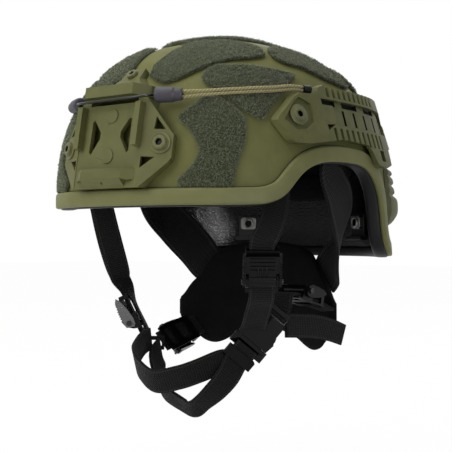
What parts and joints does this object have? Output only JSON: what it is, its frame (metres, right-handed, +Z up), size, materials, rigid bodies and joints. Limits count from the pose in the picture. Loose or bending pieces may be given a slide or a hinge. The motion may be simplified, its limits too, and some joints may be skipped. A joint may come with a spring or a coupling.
{
  "type": "combat helmet",
  "caption": "Full-cut-brow ballistic combat helmet with front shroud, toothed side rails, loop patches, bungee hook and buckled chin harness.",
  "frame": {"origin": "centre of the brow opening, level with the lower edge of the brow, where the wearer's head carries the helmet", "axes": "-Y to the front, +X to the wearer's left, +Z up to the crown"},
  "size_m": [0.2576, 0.305, 0.3033],
  "materials": {
    "shell_paint": "textured olive paint over a pressed fibre shell",
    "band_paint": "painted olive band",
    "shroud_paint": "matt olive coating on machined alloy",
    "rail_plastic": "olive moulded polymer",
    "guard_plastic": "olive moulded polymer",
    "seal_rubber": "matt black rubber",
    "screw_paint": "painted olive screws",
    "steel": "plain steel",
    "loop_fabric": "green loop pile",
    "elastic": "tan braided elastic",
    "sleeve_plastic": "dull grey polymer",
    "hook_wire": "coated wire",
    "ferrule_plastic": "black polymer",
    "pad_fabric": "black knitted cover over foam",
    "webbing": "black woven webbing",
    "grey_plastic": "light grey polymer",
    "black_plastic": "black polymer"
  },
  "bodies": {
    "helmet": {"shell": "shell_paint", "rim_band": "band_paint", "edge_seal": "seal_rubber", "nvg_shroud": "shroud_paint", "shroud_screws": "screw_paint", "rail_left": "rail_plastic", "rail_right": "rail_plastic", "rail_screws": "screw_paint", "mount_nuts": "steel", "nape_guard": "guard_plastic", "patch_crown": "loop_fabric", "patch_front_left": "loop_fabric", "patch_front_right": "loop_fabric", "patch_upper_left": "loop_fabric", "patch_upper_right": "loop_fabric", "patch_temple_left": "loop_fabric", "patch_temple_right": "loop_fabric", "patch_side_left": "loop_fabric", "patch_side_right": "loop_fabric", "patch_rear_left": "loop_fabric", "patch_rear_right": "loop_fabric", "bungee_ferrules": "ferrule_plastic", "pad_crown": "pad_fabric", "pad_front": "pad_fabric", "pad_rear": "pad_fabric", "pad_front_left": "pad_fabric", "pad_front_right": "pad_fabric", "pad_rear_left": "pad_fabric", "pad_rear_right": "pad_fabric", "strap_brackets": "steel", "front_strap_left": "webbing", "front_strap_right": "webbing", "nape_arm_left": "webbing", "nape_arm_right": "webbing", "nape_pad": "pad_fabric", "rear_strap_left": "webbing", "rear_strap_right": "webbing", "adjuster_frame_front_left": "black_plastic", "adjuster_frame_front_right": "black_plastic", "adjuster_frame_rear_left": "black_plastic", "adjuster_frame_rear_right": "black_plastic", "adjuster_pins": "steel", "buckle_socket": "black_plastic", "chin_link": "black_plastic"},
    "lever_front_left": {"adjuster_lever_front_left": "black_plastic"},
    "lever_front_right": {"adjuster_lever_front_right": "grey_plastic"},
    "lever_rear_left": {"adjuster_lever_rear_left": "black_plastic"},
    "lever_rear_right": {"adjuster_lever_rear_right": "black_plastic"},
    "buckle_plug": {"buckle_plug": "black_plastic", "strap_keeper": "black_plastic", "chin_strap_upper": "webbing", "chin_strap_lower": "webbing"},
    "prong_front": {"buckle_prong_front": "black_plastic"},
    "prong_rear": {"buckle_prong_rear": "black_plastic"},
    "bungee_hook": {"bungee_hook": "hook_wire", "bungee_sleeve_left": "sleeve_plastic", "bungee_sleeve_right": "sleeve_plastic", "bungee_left": "elastic", "bungee_right": "elastic"}
  },
  "joints": [
    {"name": "lever_front_left_pivot", "type": "hinge", "parent": "helmet", "child": "lever_front_left", "pos_m": [0.09219, -0.07918, -0.05507], "axis": [0.7955, 0.606, 0], "range_deg": [0, 70]},
    {"name": "lever_front_right_pivot", "type": "hinge", "parent": "helmet", "child": "lever_front_right", "pos_m": [-0.08614, -0.02712, -0.09712], "axis": [0.6018, -0.7986, 0], "range_deg": [0, 70]},
    {"name": "lever_rear_left_pivot", "type": "hinge", "parent": "helmet", "child": "lever_rear_left", "pos_m": [0.071, -0.00174, -0.0652], "axis": [1, 0, 0], "range_deg": [0, 70]},
    {"name": "lever_rear_right_pivot", "type": "hinge", "parent": "helmet", "child": "lever_rear_right", "pos_m": [-0.06808, 0.00553, -0.11332], "axis": [-0.5878, -0.1831, 0.788], "range_deg": [0, 70]},
    {"name": "plug_slide", "type": "slide", "parent": "helmet", "child": "buckle_plug", "axis": [-0.5113, -0.3895, -0.766], "range_m": [0, 0.02], "deforming": ["chin_strap_upper", "chin_strap_lower"]},
    {"name": "prong_front_bend", "type": "hinge", "parent": "buckle_plug", "child": "prong_front", "pos_m": [0.0652, -0.04254, -0.10591], "axis": [0.606, -0.7955, 0], "range_deg": [0, 10], "stiffness_Nm_per_rad": 0.02},
    {"name": "prong_rear_bend", "type": "hinge", "parent": "buckle_plug", "child": "prong_rear", "pos_m": [0.05666, -0.04904, -0.09691], "axis": [-0.606, 0.7955, 0], "range_deg": [0, 10], "stiffness_Nm_per_rad": 0.02},
    {"name": "hook_pull", "type": "slide", "parent": "helmet", "child": "bungee_hook", "axis": [0, -1, 0], "range_m": [0, 0.012], "stiffness_N_per_m": 400, "deforming": ["bungee_left", "bungee_right"]}
  ],
  "couplings": [
    {"joint": "prong_rear_bend", "follows": "prong_front_bend", "ratio": 1}
  ]
}
